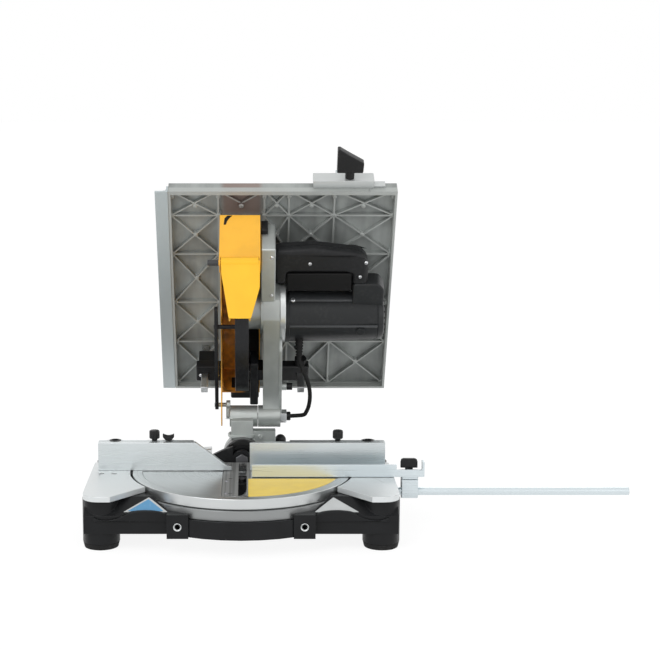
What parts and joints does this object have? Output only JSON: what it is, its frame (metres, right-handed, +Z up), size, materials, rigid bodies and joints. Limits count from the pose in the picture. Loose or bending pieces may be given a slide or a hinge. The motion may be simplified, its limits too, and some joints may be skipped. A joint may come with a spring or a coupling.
{
  "type": "combined mitre and table saw",
  "caption": "Bench mitre saw with a small ribbed saw table on its raised head, a turntable base with fences, and a length stop on a side rod.",
  "frame": {"origin": "on the floor, under the middle of the bounding box of the saw with its head raised", "axes": "+X to the operator's right, along the length stop's rod; -Y towards the operator; +Z up"},
  "size_m": [0.7986, 0.4824, 0.5607],
  "materials": {
    "black_cast": "satin black paint over a casting",
    "machined": "machined with fine turning marks",
    "cast_silver": "as cast, satin",
    "table_grey": "die cast, matt",
    "black_plastic": "fine-grained, satin",
    "rubber": "matt",
    "yellow_paint": "powder coated, semi-gloss",
    "bright_aluminium": "extruded and anodised",
    "steel": "bright",
    "insert_grey": "matt grey",
    "copper": "varnished copper windings over steel sheets"
  },
  "bodies": {
    "base": {"base_frame": "black_cast", "rubber_foot_front_left": "rubber", "rubber_foot_rear_left": "rubber", "rubber_foot_front_right": "rubber", "rubber_foot_rear_right": "rubber", "left_wing": "machined", "right_wing": "machined", "left_fence": "cast_silver", "right_fence": "cast_silver", "mitre_scale": "machined", "stop_rod": "bright_aluminium", "centre_bolt": "steel"},
    "turntable": {"turntable_disc": "machined", "kerf_insert": "insert_grey"},
    "tilt": {"tilt_bracket": "cast_silver", "kerf_shield": "black_plastic", "bevel_bolt": "steel"},
    "bevel_lock": {"bevel_lock_lever": "black_plastic"},
    "head": {"arm_casting": "cast_silver", "gear_case_cover": "cast_silver", "motor_housing": "black_plastic", "motor_end_cap": "black_plastic", "stator": "copper", "handle_shell_lower": "black_plastic", "handle_shell_upper": "black_plastic", "blade_guard": "yellow_paint", "guard_rear_cover": "black_plastic", "riving_knife": "steel", "left_table_guide": "black_cast", "pivot_bolt": "steel", "motor_lead": "rubber"},
    "blade": {"spindle_gear": "steel", "saw_blade": "steel", "inner_flange": "steel", "outer_flange": "steel", "blade_bolt": "steel"},
    "armature": {"armature": "copper"},
    "lower_guard": {"lower_guard": "black_plastic"},
    "guard_link": {"guard_link": "black_plastic"},
    "front_flap": {"front_flap": "yellow_paint"},
    "trigger": {"trigger": "black_plastic"},
    "lock_off_button": {"lock_off_button": "black_plastic"},
    "lock_pin": {"head_lock_plunger": "steel"},
    "table": {"upper_table": "table_grey", "table_kerf_plate": "cast_silver", "table_side_rail": "bright_aluminium", "left_table_post": "steel", "right_table_post": "steel", "top_guard_bracket": "steel"},
    "table_knob": {"table_clamp_knob": "black_plastic"},
    "top_guard": {"top_guard": "black_plastic"},
    "rip_fence": {"rip_fence_bar": "bright_aluminium", "rip_fence_head": "bright_aluminium"},
    "rip_clamp": {"rip_fence_clamp": "black_plastic"},
    "left_clamp": {"left_clamp_knob": "black_plastic"},
    "right_clamp": {"right_clamp_knob": "black_plastic"},
    "wing_knob": {"wing_knob": "black_plastic"},
    "length_stop": {"stop_sleeve": "bright_aluminium", "stop_guide": "bright_aluminium"},
    "stop_screw": {"stop_wing_screw": "black_plastic"}
  },
  "joints": [
    {"name": "turntable_turn", "type": "hinge", "parent": "base", "child": "turntable", "pos_m": [-0.17325, -0.06718, 0.081], "axis": [0, 0, -1], "range_deg": [-45, 45]},
    {"name": "bevel_tilt", "type": "hinge", "parent": "turntable", "child": "tilt", "pos_m": [-0.17325, 0.03762, 0.081], "axis": [0, -1, 0], "range_deg": [0, 45]},
    {"name": "bevel_lock_turn", "type": "hinge", "parent": "tilt", "child": "bevel_lock", "pos_m": [-0.17325, 0.08182, 0.081], "axis": [0, 1, 0], "range_deg": [-35, 8]},
    {"name": "head_lower", "type": "hinge", "parent": "tilt", "child": "head", "pos_m": [-0.17325, 0.07282, 0.134], "axis": [1, 0, 0], "range_deg": [0, 61], "stiffness_Nm_per_rad": 26, "springref_deg": -20.05},
    {"name": "blade_spin", "type": "hinge", "parent": "head", "child": "blade", "pos_m": [-0.17325, 0.04288, 0.31177], "axis": [1, 0, 0], "continuous": true},
    {"name": "armature_spin", "type": "hinge", "parent": "head", "child": "armature", "pos_m": [-0.07525, 0.06865, 0.29519], "axis": [1, 0, 0], "continuous": true},
    {"name": "lower_guard_swing", "type": "hinge", "parent": "head", "child": "lower_guard", "pos_m": [-0.17325, 0.04288, 0.31177], "axis": [1, 0, 0], "range_deg": [0, 71]},
    {"name": "guard_link_swing", "type": "hinge", "parent": "tilt", "child": "guard_link", "pos_m": [-0.21575, 0.07376, 0.15197], "axis": [1, 0, 0], "range_deg": [0, 52.4]},
    {"name": "flap_swing", "type": "hinge", "parent": "head", "child": "front_flap", "pos_m": [-0.17325, -0.06398, 0.39317], "axis": [-1, 0, 0], "range_deg": [0, 122]},
    {"name": "trigger_pull", "type": "slide", "parent": "head", "child": "trigger", "axis": [0, -0.4848, 0.8746], "range_m": [0, 0.006], "stiffness_N_per_m": 500, "springref_m": -0.004},
    {"name": "lock_off_press", "type": "slide", "parent": "head", "child": "lock_off_button", "axis": [0, -0.8746, -0.4848], "range_m": [0, 0.003], "stiffness_N_per_m": 400, "springref_m": -0.002},
    {"name": "lock_pin_pull", "type": "slide", "parent": "head", "child": "lock_pin", "axis": [1, 0, 0], "range_m": [0, 0.008]},
    {"name": "table_lift", "type": "slide", "parent": "head", "child": "table", "axis": [0, 0.8746, 0.4848], "range_m": [0, 0.04]},
    {"name": "table_knob_turn", "type": "hinge", "parent": "head", "child": "table_knob", "pos_m": [-0.08025, 0.12212, 0.19563], "axis": [0, -0.4848, 0.8746], "range_deg": [0, 180]},
    {"name": "top_guard_swing", "type": "hinge", "parent": "table", "child": "top_guard", "pos_m": [-0.17325, 0.21199, 0.214], "axis": [-1, 0, 0], "range_deg": [0, 55]},
    {"name": "rip_fence_slide", "type": "slide", "parent": "table", "child": "rip_fence", "axis": [1, 0, 0], "range_m": [-0.11, 0.04]},
    {"name": "rip_clamp_turn", "type": "hinge", "parent": "rip_fence", "child": "rip_clamp", "pos_m": [-0.01025, 0.01864, 0.51329], "axis": [0, -0.4848, 0.8746], "range_deg": [0, 90]},
    {"name": "left_clamp_turn", "type": "hinge", "parent": "base", "child": "left_clamp", "pos_m": [-0.30425, -0.05068, 0.1235], "axis": [0, 0, 1], "range_deg": [0, 180]},
    {"name": "right_clamp_turn", "type": "hinge", "parent": "base", "child": "right_clamp", "pos_m": [-0.02875, -0.05068, 0.1235], "axis": [0, 0, 1], "range_deg": [0, 180]},
    {"name": "wing_knob_turn", "type": "hinge", "parent": "base", "child": "wing_knob", "pos_m": [-0.28325, -0.05068, 0.1235], "axis": [0, 0, 1], "range_deg": [0, 90]},
    {"name": "length_stop_slide", "type": "slide", "parent": "base", "child": "length_stop", "axis": [1, 0, 0], "range_m": [0, 0.29]},
    {"name": "stop_screw_turn", "type": "hinge", "parent": "length_stop", "child": "stop_screw", "pos_m": [0.07375, -0.09718, 0.077], "axis": [0, 0, 1], "range_deg": [0, 180]}
  ],
  "couplings": [
    {"joint": "armature_spin", "follows": "blade_spin", "ratio": -3.7143},
    {"joint": "lower_guard_swing", "follows": "head_lower", "ratio": 1.1639},
    {"joint": "guard_link_swing", "follows": "head_lower", "ratio": 0.8571},
    {"joint": "flap_swing", "follows": "head_lower", "ratio": 2}
  ]
}
